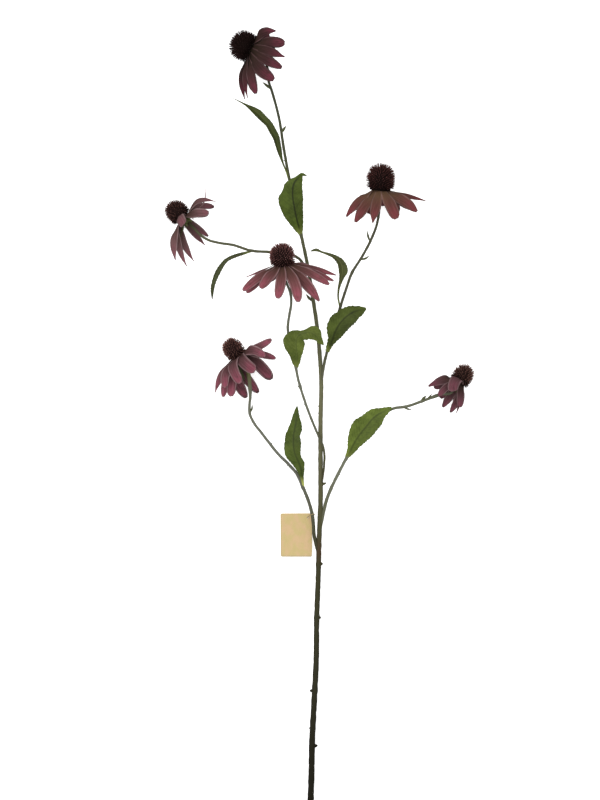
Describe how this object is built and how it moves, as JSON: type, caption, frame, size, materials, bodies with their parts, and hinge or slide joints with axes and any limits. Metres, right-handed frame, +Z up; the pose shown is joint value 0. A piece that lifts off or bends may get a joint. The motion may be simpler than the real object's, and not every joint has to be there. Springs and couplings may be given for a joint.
{
  "type": "artificial coneflower spray",
  "caption": "Long coneflower spray lying flat: a branching stem with drooping dusky purple petals round dark spiky cones, folded green leaves, small bracts and a blank swing tag.",
  "frame": {"origin": "middle of the spray's outline, on the surface that it lies on", "axes": "+X to the right and +Y from the cut end of the stem towards the top flower as the picture shows the spray, +Z up from the surface"},
  "size_m": [0.3594, 0.9296, 0.1126],
  "materials": {
    "petal": "matt cut cloth petal, dusky purple with paler tips and edges, pressed veins",
    "cone": "matt moulded cone, almost black maroon with brown tips",
    "calyx": "matt moulded cup, olive green",
    "leaf": "printed leaf cloth, mid green with a paler midrib and side veins",
    "stem": "matt moulded stem, brown at the lower end and olive towards the flowers",
    "card": "uncoated kraft card, bare",
    "thread": "thin cotton thread, undyed"
  },
  "bodies": {
    "root": {"main_stem": "stem", "left_stem": "stem", "right_stem": "stem", "middle_stem": "stem", "lower_left_stem": "stem", "lower_right_stem": "stem", "top_flower_cone": "cone", "top_flower_upper_petals": "petal", "top_flower_lower_petals": "petal", "top_flower_calyx": "calyx", "left_flower_cone": "cone", "left_flower_upper_petals": "petal", "left_flower_lower_petals": "petal", "left_flower_calyx": "calyx", "right_flower_cone": "cone", "right_flower_upper_petals": "petal", "right_flower_lower_petals": "petal", "right_flower_calyx": "calyx", "middle_flower_cone": "cone", "middle_flower_upper_petals": "petal", "middle_flower_lower_petals": "petal", "middle_flower_calyx": "calyx", "lower_left_flower_cone": "cone", "lower_left_flower_upper_petals": "petal", "lower_left_flower_lower_petals": "petal", "lower_left_flower_calyx": "calyx", "lower_right_flower_cone": "cone", "lower_right_flower_upper_petals": "petal", "lower_right_flower_lower_petals": "petal", "lower_right_flower_calyx": "calyx", "leaf_1": "leaf", "leaf_2": "leaf", "leaf_3": "leaf", "leaf_4": "leaf", "leaf_5": "leaf", "leaf_6": "leaf", "leaf_7": "leaf", "leaf_8": "leaf", "bract_1": "leaf", "bract_2": "leaf", "bract_3": "leaf", "bract_4": "leaf", "bract_5": "leaf", "bract_6": "leaf", "bract_7": "leaf", "bract_8": "leaf", "bract_9": "leaf", "swing_tag": "card", "tag_loop": "thread"}
  },
  "joints": []
}
